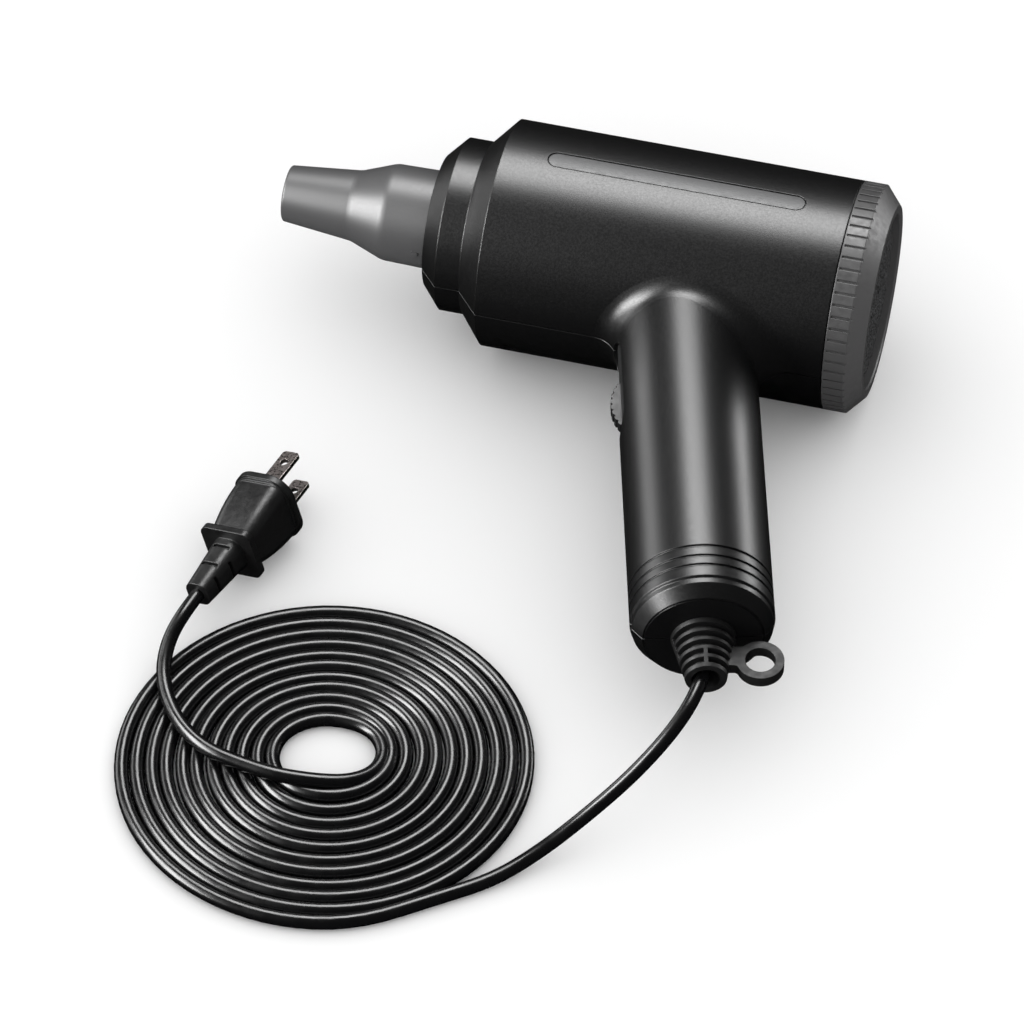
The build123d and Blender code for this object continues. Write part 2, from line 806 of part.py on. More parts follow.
grille_end = barrel_rear - wall
with BuildPart() as intake_grille:
    with BuildSketch(ring_plane(grille_end - grille_t)):
        Circle(barrel_r - wall - seat)
        for outer, inner in ((33.0, 26.5), (24.5, 18.0), (16.0, 9.0)):
            with BuildSketch(mode=Mode.PRIVATE) as slots:
                Circle(outer)
                Circle(inner, mode=Mode.SUBTRACT)
                with PolarLocations(0, 4):
                    Rectangle(2 * barrel_r, 2.4, mode=Mode.SUBTRACT)
            add(slots.sketch, mode=Mode.SUBTRACT)
    extrude(amount=grille_t)
finish(intake_grille, "intake_grille")

# ---- Motor -------------------------------------------------------------------------------------
pole_sides = (0, 180)
with BuildPart() as stator_core:
    add(barrel_tube(stator_front, stator_rear, stator_r, stator_r - 5))
    for angle in pole_sides:
        add(sector(stator_front, stator_rear, stator_r - 4, stator_bore, angle, 24))
        add(sector(stator_front, stator_rear, stator_bore + 2, stator_bore, angle, 50))
finish(stator_core, "stator_core")

coil_over = 6.5            # how far the windings stand past the core at each end
for label, angle in (("field_coil_upper", 0), ("field_coil_lower", 180)):
    with BuildPart() as field_coil:
        inner, outer = stator_bore + 2.3, stator_r - 5.3
        add(sector(stator_front - coil_over, stator_rear + coil_over, outer, inner, angle, 52))
        window = sector(
            stator_front - 0.4, stator_rear + 0.4, outer + 1, inner - 1, angle, 26
        )
        add(window, mode=Mode.SUBTRACT)
    finish(field_coil, label)

shaft_front = plate_front - 6.5
with BuildPart() as rotor_shaft:
    add(barrel_tube(shaft_front, fan_front + 3.5, shaft_r))
finish(rotor_shaft, "rotor_shaft")

with BuildPart() as armature_core:
    with BuildSketch(ring_plane(stator_front)):
        Circle(rotor_r)
        with PolarLocations(rotor_r - 3.0, rotor_slots):
            Rectangle(6.4, 3.0, mode=Mode.SUBTRACT)
        Circle(shaft_r, mode=Mode.SUBTRACT)
    extrude(amount=stator_rear - stator_front)
finish(armature_core, "armature_core")

with BuildPart() as armature_winding:
    with BuildSketch(ring_plane(stator_front - coil_over + 0.5)):
        with PolarLocations(rotor_r - 3.4, rotor_slots):
            Rectangle(5.2, 2.8)
    extrude(amount=stator_rear - stator_front + 2 * coil_over - 1)
    for start in (stator_front - coil_over + 0.5, stator_rear + 0.2):
        add(barrel_tube(start, start + coil_over - 0.7, rotor_r - 1.0, shaft_r + 1.5))
finish(armature_winding, "armature_winding")

comm_front = -40.0
comm_rear = -29.8
with BuildPart() as commutator:
    with BuildSketch(ring_plane(comm_front)):
        Circle(comm_r)
        with PolarLocations(comm_r, comm_bars):
            Rectangle(1.6, 0.5, mode=Mode.SUBTRACT)
        Circle(shaft_r, mode=Mode.SUBTRACT)
    extrude(amount=comm_rear - comm_front)
finish(commutator, "commutator")

bearing_starts = {"bearing_front": plate_front - 4.0, "bearing_rear": plate_rear + 1.5}
for label, start in bearing_starts.items():
    with BuildPart() as bearing:
        with BuildSketch(barrel):
            with BuildLine():
                Polyline(
                    (start, shaft_r + run_fit),
                    (start, shaft_r + 2.2),
                    (start + 0.5, shaft_r + 2.2),
                    (start + 0.5, bearing_r - 2.0),
                    (start, bearing_r - 2.0),
                    (start, bearing_r),
                    (start + bearing_w, bearing_r),
                    (start + bearing_w, bearing_r - 2.0),
                    (start + bearing_w - 0.5, bearing_r - 2.0),
                    (start + bearing_w - 0.5, shaft_r + 2.2),
                    (start + bearing_w, shaft_r + 2.2),
                    (start + bearing_w, shaft_r + run_fit),
                    close=True,
                )
            make_face()
        revolve(axis=barrel_axis)
    finish(bearing, label)

hub_r = 12.0
leg_half = 22
for label, start, bearing_start, leg_from, leg_to in (
    ("motor_bracket_front", plate_front, bearing_starts["bearing_front"],
     plate_front + plate_t, stator_front),
    ("motor_bracket_rear", plate_rear, bearing_starts["bearing_rear"], stator_rear, plate_rear),
):
    with BuildPart() as bracket:
        add(barrel_tube(start, start + plate_t, stator_r))
        hub_start = min(start, bearing_start)
        hub_end = max(start + plate_t, bearing_start + bearing_w)
        add(barrel_tube(hub_start, hub_end, hub_r))
        for angle in pole_sides:
            add(sector(leg_from, leg_to, stator_r, stator_r - 4, angle, leg_half))
        # Cooling windows between the hub and the rim.
        for angle in (45, 135, 225, 315):
            window = sector(start - 1, start + plate_t + 1, stator_r - 3, hub_r + 1.5, angle, 20)
            add(window, mode=Mode.SUBTRACT)
        add(
            barrel_tube(bearing_start, bearing_start + bearing_w, bearing_r),
            mode=Mode.SUBTRACT,
        )
        add(barrel_tube(hub_start - 1, hub_end + 1, shaft_r + 1.0), mode=Mode.SUBTRACT)
    finish(bracket, label)

for label, start in (("motor_mount_front", rib_at[0] - 1.0), ("motor_mount_rear", rib_at[1] - 1.0)):
    with BuildPart() as mount:
        add(barrel_tube(start, start + rib_t + 2.0, mount_r, stator_r))
        with BuildSketch(ring_plane(start)):
            with PolarLocations(stator_r + 2.9, 16, start_angle=11.25):
                Circle(1.3)
        extrude(amount=rib_t + 2.0, mode=Mode.SUBTRACT)
    finish(mount, label)

brush_mid = -35.0
brush_w = 6.0
brush_t = 5.0
brush_len = 11.0
holder_wall = 1.0
spring_end = 28.5
brush_fit = 0.2            # play between brush and holder, over both sides
brush_start = comm_r + 0.05
holder_start = comm_r + 1.6
holder_cap_t = 1.2
holder_long = brush_t + 2 * holder_wall + brush_fit
holder_wide = brush_w + 2 * holder_wall + brush_fit
foot_front = plate_front + plate_t
foot_rear = brush_mid - (holder_long - brush_fit) / 2 - brush_fit / 2
brush_at = barrel.from_local_coords((brush_mid, 0, 0))


def brush_plane(side, height):
    """A plane across one brush at a height off the barrel axis."""
    out = Vector(0, 0, side)
    return Plane(origin=brush_at + out * height, x_dir=(1, 0, 0), z_dir=out)


for side, name in ((1, "upper"), (-1, "lower")):
    with BuildPart() as carbon_brush:
        with BuildSketch(brush_plane(side, brush_start - 0.9)):
            Rectangle(brush_t, brush_w)
        extrude(amount=brush_len + 0.9)
        add(barrel_tube(-60, 0, brush_start), mode=Mode.SUBTRACT)
    finish(carbon_brush, f"carbon_brush_{name}")

    with BuildPart() as brush_holder:
        with BuildSketch(brush_plane(side, holder_start)):
            Rectangle(holder_long, holder_wide)
            Rectangle(brush_t + brush_fit, brush_w + brush_fit, mode=Mode.SUBTRACT)
        extrude(amount=spring_end - holder_start)
        with BuildSketch(brush_plane(side, spring_end)):
            Rectangle(holder_long, holder_wide)
        extrude(amount=holder_cap_t)
        # Foot that ties the holder to the front bracket.
        with BuildSketch(brush_plane(side, comm_r + 5)):
            with Locations(((foot_front + foot_rear) / 2 - brush_mid, 0)):
                Rectangle(foot_rear - foot_front, brush_w)
        extrude(amount=9.0)
    finish(brush_holder, f"brush_holder_{name}")

    out = Vector(0, 0, side)
    spring_start = brush_start + brush_len
    with BuildPart() as brush_spring:
        coil_path = Helix(
            pitch=(spring_end - spring_start - 1.0) / 5,
            height=spring_end - spring_start - 1.0,
            radius=1.9,
            center=brush_at + out * (spring_start + 0.5),
            direction=out,
        )
        with BuildSketch(Plane(origin=coil_path @ 0, z_dir=coil_path % 0)):
            Circle(0.35)
        sweep(path=coil_path, is_frenet=True)
    finish(brush_spring, f"brush_spring_{name}")

# ---- Fan ---------------------------------------------------------------------------------------
fan_plate_t = 1.6
with BuildPart() as fan_wheel:
    add(barrel_tube(fan_back, fan_back + fan_plate_t, fan_r))
    add(barrel_tube(fan_back - 1.5, fan_front - 1.0, 7.0))
    with BuildSketch(ring_plane(fan_back)):
        with PolarLocations(0, fan_blades):
            with BuildLine():
                RadiusArc((6.0, 0), (fan_r - 0.3, -9.0), 24.0)
                offset(amount=0.6)
            make_face()
    extrude(amount=fan_front - fan_back - 1.0)
    add(barrel_tube(fan_front - 1.5, fan_front, fan_r, 12.5))
    add(barrel_tube(fan_back - 2, fan_front + 1, shaft_r), mode=Mode.SUBTRACT)
finish(fan_wheel, "fan_wheel")

with BuildPart() as fan_nut:
    with BuildSketch(ring_plane(fan_front - 1.0)):
        RegularPolygon(radius=5.0, side_count=6, major_radius=False)
        Circle(shaft_r, mode=Mode.SUBTRACT)
    extrude(amount=3.6)
finish(fan_nut, "fan_nut")

shroud_end = grille_end - grille_t - seat
shroud_wall = 1.4
with BuildPart() as fan_shroud:
    add(barrel_tube(shroud_front, shroud_end, shroud_r, shroud_r - shroud_wall))
    add(barrel_tube(fan_front + 1.2, fan_front + 2.8, shroud_r, 13.5))
    flange_at = shroud_front + 10.0 + seat
    add(barrel_tube(flange_at, flange_at + 2.0, barrel_r - wall - seat, shroud_r - 0.5))
finish(fan_shroud, "fan_shroud")

diffuser_t = 1.8
with BuildPart() as diffuser:
    add(barrel_tube(shroud_front, shroud_front + diffuser_t, shroud_r - shroud_wall, hub_r + 0.4))
    with BuildSketch(ring_plane(shroud_front)):
        with PolarLocations(0, 12):
            with BuildLine():
                RadiusArc((14.5, 0), (shroud_r - shroud_wall - 1.8, 8.0), -26.0)
                offset(amount=0.6)
            make_face()
    extrude(amount=fan_back - 1.2 - shroud_front)
    with BuildSketch(ring_plane(shroud_front - 1)):
        with PolarLocations(20.0, 12, start_angle=0):
            Circle(2.6)
    extrude(amount=diffuser_t + 1, mode=Mode.SUBTRACT)
finish(diffuser, "diffuser")

# ---- Internal leads ----------------------------------------------------------------------------
def tube_along(points, radius):
    """A round tube of straight runs joined by the largest tangent arcs; also its arc radii."""
    corners = [Vector(p) for p in points]
    radii = []
    for before, corner, after in zip(corners, corners[1:], corners[2:]):
        turn = (corner - before).get_angle(after - corner)
        shorter = min((corner - before).length, (after - corner).length)
        radii.append(bend_share * shorter / tan(radians(turn / 2)))
    with BuildPart() as tube:
        with BuildLine() as route:
            FilletPolyline(*corners, radius=radii)
        path = route.wires()[0]
        with BuildSketch(Plane(origin=path @ 0, z_dir=path % 0)):
            Circle(radius)
        sweep(path=path)
    return tube.part, path.length, radii


lead_r = 0.9
with BuildPart() as motor_leads:
    for side in (1, -1):
        route = [
            grip.from_local_coords((board_start + 3, 3 * side, board_top + lead_r)),
            grip.from_local_coords((38.0, 3 * side, board_top + 6)),
            barrel.from_local_coords((6.0, -30.0 + side, board_top + 6 + 2 * side)),
            barrel.from_local_coords((-22.0, -29.5, 6 * side)),
            barrel.from_local_coords((-33.0 - side, -24.5, 15 * side)),
            barrel.from_local_coords((-35.0, -16.0, 22 * side)),
            barrel.from_local_coords((-35.0, -5.4, 26 * side)),
        ]
        add(tube_along(route, lead_r)[0])
finish(motor_leads, "motor_leads")

with BuildPart() as supply_leads:
    for side in (1, -1):
        route = [
            grip.from_local_coords((handle_end - 41.2, 4.0 * side, -4.4)),
            grip.from_local_coords((handle_end - 46.5, 4.2 * side, -3.2)),
            grip.from_local_coords((handle_end - 50.5, 5.4 * side, -3.8)),
            grip.from_local_coords((handle_end - 53.0, 6.0 * side, board_top + lead_r)),
        ]
        add(tube_along(route, lead_r)[0])
finish(supply_leads, "supply_leads")

# ---- Lead, coil and plug -----------------------------------------------------------------------
coil_plane = Plane(
    origin=(*coil_centre, 0),
    x_dir=(cos(radians(coil_turned)), sin(radians(coil_turned)), 0),
    z_dir=(0, 0, 1),
)
with BuildPart() as cord_coil:
    with BuildSketch(coil_plane):
        Ellipse(coil_r, coil_r * coil_squash)
        Ellipse(coil_eye_r, coil_eye_r * coil_squash, mode=Mode.SUBTRACT)
    extrude(amount=2 * cord_r)
    chamfer(cord_coil.edges().group_by(Axis.Z)[-1], length=1.2)
    chamfer(cord_coil.edges().group_by(Axis.Z)[0], length=1.2)
finish(cord_coil, "cord_coil")

lead_exit = grip.from_local_coords((lead_start, 0, 0))
boot_mouth = grip.from_local_coords((lead_start + 9.6, 0, 0))
lead_points = [
    lead_exit,
    boot_mouth,
    boot_mouth + Vector(-0.7, -9.5, -0.5),
    boot_mouth + Vector(-2.8, -18.0, -2.5),
    boot_mouth + Vector(-7.9, -27.6, -7.6),
    (64.2, -139.0, 22.3),
    (53.0, -148.5, 12.2),
    (41.6, -159.6, 5.0),
    (29.0, -173.2, 2.45),
    (14.0, -184.0, 2.45),
    (2.0, -187.5, 2.45),
]
lead_tube, lead_length, lead_radii = tube_along(lead_points, cord_r)
with BuildPart() as cord_lead:
    add(lead_tube)
    add(cord_coil.part, mode=Mode.SUBTRACT)
finish(cord_lead, "cord_lead")

plug_axis = Vector(*plug_dir).normalized()
level = plug_axis.cross(Vector(0, 0, 1)).normalized()
down = plug_axis.cross(level).normalized()
blade_row = down * cos(radians(plug_roll)) + level * sin(radians(plug_roll))
plug = Plane(origin=plug_at, x_dir=blade_row, z_dir=plug_axis)
relief_tip_at = plug.from_local_coords((0, 0, -plug_len))
tail_points = [
    (-27.5, -148.6, 2.45),
    (-36.5, -152.6, 6.4),
    (-48.0, -153.6, 7.5),
    (-61.0, -152.0, 7.4),
    (-74.0, -148.4, 7.4),
    (-85.0, -140.6, 7.4),
    (-92.9, -129.6, 7.8),
    (-96.6, -119.6, 9.4),
    (-96.9, -110.0, 12.4),
    relief_tip_at - plug_axis * 8.6,
    relief_tip_at,
]
tail_tube, tail_length, tail_radii = tube_along(tail_points, cord_r)
with BuildPart() as cord_tail:
    add(tail_tube)
    add(cord_coil.part, mode=Mode.SUBTRACT)
finish(cord_tail, "cord_tail")

front_flange_t = 2.4
front_step_t = 1.0
grip_flange_t = 2.4
body_front = -front_flange_t / 2
body_rear = -plug_grip_at + grip_flange_t / 2
relief_front = -plug_grip_at - grip_flange_t / 2
with BuildPart() as plug_body:
    # Front flange with a thin step behind it.
    with BuildSketch(plug.offset(body_front)):
        RectangleRounded(25.6, 22.2, 8.0)
    extrude(amount=front_flange_t)
    with BuildSketch(plug.offset(body_front - front_step_t)):
        RectangleRounded(24.2, 20.8, 7.3)
    extrude(amount=front_step_t)
    # Body with bulging sides between the two flanges: distance behind the front, and section.
    for back, long_side, short_side, corner in (
        (0.0, 22.6, 19.6, 5.0),
        (0.5, 20.4, 18.9, 4.7),
        (1.0, 14.8, 16.2, 4.0),
    ):
        with BuildSketch(plug.offset(body_front + (body_rear - body_front) * back)):
            RectangleRounded(long_side, short_side, corner)
    loft()
    with BuildSketch(plug.offset(relief_front)):
        RectangleRounded(19.4, 19.6, 3.0)
    extrude(amount=grip_flange_t)
    # Strain relief with cross slots on alternate faces.
    with BuildSketch(plug.offset(-plug_len)):
        RectangleRounded(2 * plug_relief_tip, 2 * plug_relief_tip, 3.4)
    with BuildSketch(plug.offset(relief_front)):
        RectangleRounded(12.6, 11.6, 4.6)
    loft()
    for index in range(4):
        slot_z = relief_front - 4.0 - 4.0 * index
        half = 5.2 - 0.36 * index
        for side in (1, -1):
            with BuildSketch(plug.offset(slot_z)):
                if index % 2:
                    with Locations((0, side * (half + 0.9))):
                        Rectangle(6.5, 3.6)
                else:
                    with Locations((side * (half + 1.1), 0)):
                        Rectangle(3.6, 6.5)
            extrude(amount=1.3, mode=Mode.SUBTRACT)
    # Pockets for the blades.
    with BuildSketch(plug.offset(front_flange_t / 2 - blade_root)):
        with GridLocations(blade_gap, 0, 2, 1):
            Rectangle(blade_t, blade_w)
    extrude(amount=blade_root + 1, mode=Mode.SUBTRACT)
finish(plug_body, "plug_body")

for label, side in (("plug_blade_upper", -1), ("plug_blade_lower", 1)):
    with BuildPart() as blade:
        blade_end = front_flange_t / 2 + blade_len
        blade_plane = Plane(
            origin=plug.from_local_coords((side * blade_gap / 2 - blade_t / 2, 0, 0)),
            x_dir=plug.z_dir,
            z_dir=plug.x_dir,
        )
        with BuildSketch(blade_plane):
            with Locations(((blade_end + front_flange_t / 2 - blade_root) / 2, 0)):
                Rectangle(blade_len + blade_root, blade_w)
            with Locations((blade_end - 5.3, 0)):
                Circle(1.5, mode=Mode.SUBTRACT)
        extrude(amount=blade_t)
        across = Axis(plug.origin, plug.x_dir)
        along = Axis(plug.origin, plug.z_dir)
        fillet(blade.edges().filter_by(across).sort_by(along)[-2:], radius=1.2)
    finish(blade, label)

# ---- Cord report -------------------------------------------------------------------------------
# Turns that touch cover the ring's face, so their length is its area over the lead's thickness.
coil_length = pi * (coil_r**2 - coil_eye_r**2) * coil_squash / (2 * cord_r)
section = pi * cord_r**2
print("lead radii", [round(r, 1) for r in lead_radii], "length", round(lead_length, 1))
print("tail radii", [round(r, 1) for r in tail_radii], "length", round(tail_length, 1))
print("lead volume over section x length", round(lead_tube.volume / (section * lead_length), 4))
print("tail volume over section x length", round(tail_tube.volume / (section * tail_length), 4))
print("cord total", round(lead_length + coil_length + tail_length))
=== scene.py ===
"""The looks of a corded hand-held car dryer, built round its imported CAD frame.

The tool lies on its flank with its lead wound beside it. The barrel runs along X and blows
towards -X; the handle hangs towards -Y. Everything is in metres, in the frame's own axes.
"""

from math import cos, pi, radians, sin

import bmesh
import bpy
from mathutils import Matrix, Vector, noise


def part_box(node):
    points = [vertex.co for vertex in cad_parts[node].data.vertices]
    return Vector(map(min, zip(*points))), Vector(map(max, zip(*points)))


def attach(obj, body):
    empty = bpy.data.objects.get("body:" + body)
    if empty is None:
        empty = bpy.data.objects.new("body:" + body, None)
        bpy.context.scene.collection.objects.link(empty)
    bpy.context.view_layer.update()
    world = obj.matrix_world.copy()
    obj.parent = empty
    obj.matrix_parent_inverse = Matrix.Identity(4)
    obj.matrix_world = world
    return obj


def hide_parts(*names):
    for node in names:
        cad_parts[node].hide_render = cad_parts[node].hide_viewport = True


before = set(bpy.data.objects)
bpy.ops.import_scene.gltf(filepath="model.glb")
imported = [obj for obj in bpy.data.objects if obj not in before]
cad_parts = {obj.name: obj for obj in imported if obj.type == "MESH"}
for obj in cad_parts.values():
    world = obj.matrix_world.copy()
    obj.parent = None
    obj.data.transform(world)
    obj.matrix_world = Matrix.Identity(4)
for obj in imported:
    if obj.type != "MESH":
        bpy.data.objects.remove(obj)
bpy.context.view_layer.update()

# ---- Camera -----------------------------------------------------------------------------------
# A long lens two metres away, in front of the handle's end and half way up. It looks at the
# floor between the tool and the wound lead.
aim = Vector((-0.0036, -0.0201, 0.0))
camera_away = 2.02
camera_turn = radians(14.06)
camera_rise = radians(49.5)
towards_camera = Vector((
    sin(camera_turn) * cos(camera_rise),
    -cos(camera_turn) * cos(camera_rise),
    sin(camera_rise),
))
lens = bpy.data.cameras.new("long_lens")
lens.sensor_width = 36.0
lens.lens = 210.9
camera = bpy.data.objects.new("long_lens", lens)
bpy.context.scene.collection.objects.link(camera)
camera.location = aim + towards_camera * camera_away
camera.rotation_mode = "QUATERNION"
camera.rotation_quaternion = (-towards_camera).to_track_quat("-Z", "Y")
bpy.context.scene.camera = camera

# ---- Mains lead -------------------------------------------------------------------------------
# A round two-core lead 4.9 mm thick in a glossy black sheath. It leaves the strain relief, drops
# to the floor, winds inwards in nearly eleven flat turns, rises over them and enters the plug.
lead_d = 0.0049
run_down = [
    (0.078269, -0.092671, 0.0393),
    (0.080868, -0.101913, 0.0393),
    (0.0802, -0.1114, 0.0388),
    (0.0781, -0.1199, 0.0368),
    (0.0730, -0.1295, 0.0317),
    (0.0642, -0.1390, 0.0223),
    (0.0530, -0.1485, 0.0122),
    (0.0416, -0.1596, 0.0050),
    (0.0290, -0.1732, 0.00245),
    (0.0140, -0.1840, 0.00245),
]
run_to_plug = [
    (-0.0482, -0.1532, 0.0075),
    (-0.0610, -0.1514, 0.0074),
    (-0.0740, -0.1484, 0.0074),
    (-0.0850, -0.1406, 0.0074),
    (-0.0929, -0.1296, 0.0078),
    (-0.0966, -0.1196, 0.0094),
    (-0.0969, -0.1100, 0.0124),
    (-0.094237, -0.100945, 0.015837),
    (-0.092028, -0.092640, 0.015579),
]
coil_outer = 0.0687        # centre line of the outer turn, across the view
coil_outer_up = 0.0653     # and along it
coil_step_up = 0.00475     # from turn to turn; across the view it is the lead's thickness
coil_shift = 0.0012        # of the whole coil from its middle, both ways
coil_drift = 0.0026        # how far the inner turns lie up from the outer ones
coil_wander = 0.0003       # uneven winding
coil_wander_turns = 2.6
coil_points = 16           # control points in one turn
coil_turns = 10.7
coil_lap = 10.08           # the turn where the last one leans on the one before it
lap_reach = 0.3
lap_rise = 0.0016
coil_start = -60.0         # degrees, where the run down joins the outer turn
coil_across = Vector((cos(camera_turn), sin(camera_turn), 0.0))
coil_up = Vector((-sin(camera_turn), cos(camera_turn), 0.0))
coil_middle = Vector((-0.0360, -0.1414, 0.0))


def beside_coil(across, up, height):
    """A point given from the coil's middle."""
    return coil_middle + coil_across * across + coil_up * up + Vector((0.0, 0.0, height))


def coil_point(turn):
    """A control point of the coil, a number of turns in from the outer one."""
    angle = radians(coil_start) - 2 * pi * turn
    inwards = turn / coil_turns
    wander = coil_wander * sin(coil_wander_turns * turn) * sin(pi * inwards)
    out = (coil_outer - turn * lead_d + wander) / cos(pi / coil_points)
    out_up = (coil_outer_up - turn * coil_step_up + wander) / cos(pi / coil_points)
    lap = max(0.0, 1.0 - abs(turn - coil_lap) / lap_reach)
    return beside_coil(
        coil_shift + out * cos(angle),
        coil_shift + coil_drift * inwards**2 + out_up * sin(angle),
        lead_d / 2 + lap_rise * lap,
    )


route = [Vector(p) for p in run_down]
route += [coil_point(step / coil_points) for step in range(1, round(coil_turns * coil_points))]
# The innermost half turn climbs to cross the others.
route += [
    beside_coil(0.0128, 0.0158, 0.00245),
    beside_coil(0.0180, 0.0102, 0.0028),
    beside_coil(0.0195, 0.0024, 0.0034),
    beside_coil(0.0163, -0.0048, 0.0042),
    beside_coil(0.0095, -0.0091, 0.0054),
    beside_coil(0.0005, -0.0102, 0.0064),
]
route += [Vector(p) for p in run_to_plug]

lead_curve = bpy.data.curves.new("mains_lead", "CURVE")
lead_curve.dimensions = "3D"
lead_line = lead_curve.splines.new("NURBS")
lead_line.points.add(len(route) - 1)
for point, place in zip(lead_line.points, route):
    point.co = (*place, 1.0)
lead_line.order_u = 3
lead_line.use_endpoint_u = True
lead_curve.resolution_u = 5
lead_curve.bevel_depth = lead_d / 2
lead_curve.bevel_resolution = 4
lead_curve.use_fill_caps = True
mains_lead = bpy.data.objects.new("mains_lead", lead_curve)
bpy.context.scene.collection.objects.link(mains_lead)


def node_material(name, colour, rough, specular=0.5):
    """A new material with its Principled shader, and both, ready for more nodes."""
    material = bpy.data.materials.new(name)
    material.use_nodes = True
    shader = material.node_tree.nodes["Principled BSDF"]
    shader.inputs["Base Color"].default_value = (*colour, 1.0)
    shader.inputs["Roughness"].default_value = rough
    shader.inputs["Specular IOR Level"].default_value = specular
    return material, material.node_tree, shader


def add_grain(tree, shader, size, height, detail=2.0, rounded=0.0, speckle=None, wear=None):
    """Fine surface grain: a bump of that grain size and height, in metres.

    rounded softens sharp edges of the mesh by that radius, speckle is the roughness range that
    the grain swings through, and wear is a coarser, fainter change in the gloss.
    """
    place = tree.nodes.new("ShaderNodeTexCoord")
    grains = tree.nodes.new("ShaderNodeTexNoise")
    grains.inputs["Scale"].default_value = 1.0 / size
    grains.inputs["Detail"].default_value = detail
    tree.links.new(place.outputs["Object"], grains.inputs["Vector"])
    bump = tree.nodes.new("ShaderNodeBump")
    bump.inputs["Strength"].default_value = 1.0
    bump.inputs["Distance"].default_value = height
    tree.links.new(grains.outputs["Fac"], bump.inputs["Height"])
    if rounded:
        edge = tree.nodes.new("ShaderNodeBevel")
        edge.samples = 6
        edge.inputs["Radius"].default_value = rounded
        tree.links.new(edge.outputs["Normal"], bump.inputs["Normal"])
    tree.links.new(bump.outputs["Normal"], shader.inputs["Normal"])
    if speckle:
        swing = tree.nodes.new("ShaderNodeMapRange")
        swing.inputs["From Min"].default_value = 0.35
        swing.inputs["From Max"].default_value = 0.65
        swing.inputs["To Min"].default_value = speckle[0]
        swing.inputs["To Max"].default_value = speckle[1]
        source = grains
        if wear:
            source = tree.nodes.new("ShaderNodeTexNoise")
            source.inputs["Scale"].default_value = 1.0 / wear
            source.inputs["Detail"].default_value = 4.0
            tree.links.new(place.outputs["Object"], source.inputs["Vector"])
        tree.links.new(source.outputs["Fac"], swing.inputs["Value"])
        tree.links.new(swing.outputs["Result"], shader.inputs["Roughness"])
    return place


sheath, tree, shader = node_material("glossy_sheath", (0.0035, 0.0035, 0.004), 0.25, 0.42)
add_grain(tree, shader, size=0.005, height=0.000005, speckle=(0.23, 0.3), wear=0.006)
lead_curve.materials.append(sheath)
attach(mains_lead, "housing")
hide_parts("cord_lead", "cord_coil", "cord_tail")
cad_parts["cord_inner"].data.materials.clear()
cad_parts["cord_inner"].data.materials.append(sheath)

# ---- Floor and lamps --------------------------------------------------------------------------
# A plain white sweep and four soft boxes: a broad one overhead for the long highlight on the
# barrel, one on the nozzle's side, and low cards at the left and behind that lift the edges.
# The boxes only show as reflections, and the even white world lights the sweep.
floor_mesh = bmesh.new()
bmesh.ops.create_grid(floor_mesh, x_segments=1, y_segments=1, size=4.0)
floor_data = bpy.data.meshes.new("floor")
floor_mesh.to_mesh(floor_data)
floor_mesh.free()
floor = bpy.data.objects.new("floor", floor_data)
bpy.context.scene.collection.objects.link(floor)
floor.location.z = -0.0002
paper, tree, shader = node_material("white_paper", (0.97, 0.97, 0.97), 0.9, 0.1)
add_grain(tree, shader, size=0.02, height=0.00002)
floor_data.materials.append(paper)

lamps_round = Vector((0.0, -0.02, 0.03))
for lamp_name, direction, along, away, length, width, power in (
    ("overhead_box", (-0.12, 0.455, 0.88), (1.0, 0.0, 0.14), 1.4, 0.62, 0.78, 25.0),
    ("nozzle_side_box", (-0.77, -0.41, 0.49), (0.0, 0.77, 0.64), 1.2, 1.0, 0.45, 42.0),
    ("low_left_card", (-0.93, 0.20, 0.16), (0.2, 1.0, 0.0), 1.1, 0.9, 0.40, 5.0),
    ("rear_card", (0.70, 0.70, 0.12), (0.75, -0.66, 0.0), 1.4, 0.8, 0.35, 8.0),
):
    lamp = bpy.data.lights.new(lamp_name, "AREA")
    lamp.shape = "RECTANGLE"
    lamp.size = length
    lamp.size_y = width
    lamp.energy = power
    box = bpy.data.objects.new(lamp_name, lamp)
    bpy.context.scene.collection.objects.link(box)
    way = Vector(direction).normalized()
    side = (Vector(along) - way * way.dot(Vector(along))).normalized()
    turn = Matrix((side, way.cross(side), way)).transposed().to_4x4()
    box.matrix_world = Matrix.Translation(lamps_round + way * away) @ turn
    box.visible_diffuse = False

world = bpy.data.worlds.new("studio")
bpy.context.scene.world = world
world.use_nodes = True
world.node_tree.nodes["Background"].inputs["Color"].default_value = (1.0, 1.0, 1.0, 1.0)
world.node_tree.nodes["Background"].inputs["Strength"].default_value = 1.12
world.cycles_visibility.glossy = False
floor.visible_glossy = False
bpy.context.scene.view_settings.view_transform = "Standard"


# ---- Housing shells ---------------------------------------------------------------------------
# Two black ABS halves that meet on the flat plane through barrel and handle, held by six screws
# from below. The surface is a fine moulded grain; sharp edges are slightly rounded.
def dress(material, *names):
    """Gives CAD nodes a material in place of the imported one."""
    for name in names:
        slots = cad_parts[name].data.materials
        slots.clear()
        slots.append(material)


housing_black, tree, shader = node_material("grained_black", (0.0042, 0.0042, 0.0046), 0.35, 0.5)
add_grain(
    tree, shader, size=0.00045, height=0.000012, rounded=0.0005, speckle=(0.32, 0.38), wear=0.0007
)
dress(housing_black, "shell_upper", "shell_lower")

# ---- Side strips ------------------------------------------------------------------------------
# Satin grey inlays pressed into a pocket on each flank of the barrel.
strip_grey, tree, shader = node_material("satin_grey", (0.075, 0.076, 0.078), 0.38, 0.5)
add_grain(
    tree, shader, size=0.0004, height=0.000008, rounded=0.0003, speckle=(0.34, 0.44), wear=0.002
)
dress(strip_grey, "side_strip_upper", "side_strip_lower")

